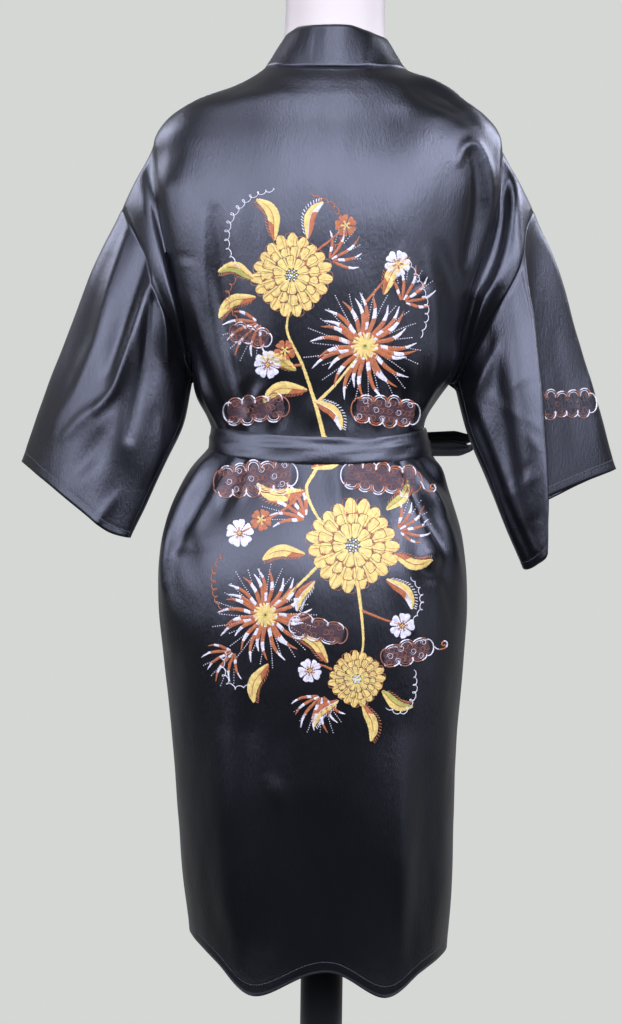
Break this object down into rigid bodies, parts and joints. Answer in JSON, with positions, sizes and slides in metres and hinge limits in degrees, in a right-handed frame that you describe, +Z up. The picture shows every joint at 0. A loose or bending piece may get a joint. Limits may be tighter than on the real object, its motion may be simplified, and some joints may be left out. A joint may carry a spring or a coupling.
{
  "type": "short kimono robe on a limbless dress form with a pole and round foot",
  "caption": "Short satin kimono robe with wide three-quarter sleeves, neck band and tied sash, worn by a limbless dress form that stands on a pole with a round foot.",
  "frame": {"origin": "centre of the foot's underside, on the floor under the pole", "axes": "+Z up, +Y to the wearer's back, +X to the wearer's left"},
  "size_m": [0.6748, 0.38, 1.4984],
  "materials": {
    "robe_back_satin": "black satin",
    "robe_front_left_satin": "black satin",
    "robe_front_right_satin": "black satin",
    "sleeve_left_satin": "black satin",
    "sleeve_right_satin": "black satin",
    "neck_band_satin": "black satin",
    "belt_band_satin": "black satin",
    "belt_knot_satin": "black satin",
    "belt_loop_left_satin": "black satin",
    "belt_loop_right_satin": "black satin",
    "belt_tail_left_satin": "black satin",
    "belt_tail_right_satin": "black satin",
    "form_white": "smooth, matt",
    "pole_black": "satin black",
    "foot_black": "satin black"
  },
  "bodies": {
    "root": {"robe_back": "robe_back_satin", "robe_front_left": "robe_front_left_satin", "robe_front_right": "robe_front_right_satin", "sleeve_left": "sleeve_left_satin", "sleeve_right": "sleeve_right_satin", "neck_band": "neck_band_satin", "belt_band": "belt_band_satin", "belt_knot": "belt_knot_satin", "belt_loop_left": "belt_loop_left_satin", "belt_loop_right": "belt_loop_right_satin", "belt_tail_left": "belt_tail_left_satin", "belt_tail_right": "belt_tail_right_satin", "form_torso": "form_white", "form_pole": "pole_black", "form_foot": "foot_black"}
  },
  "joints": []
}
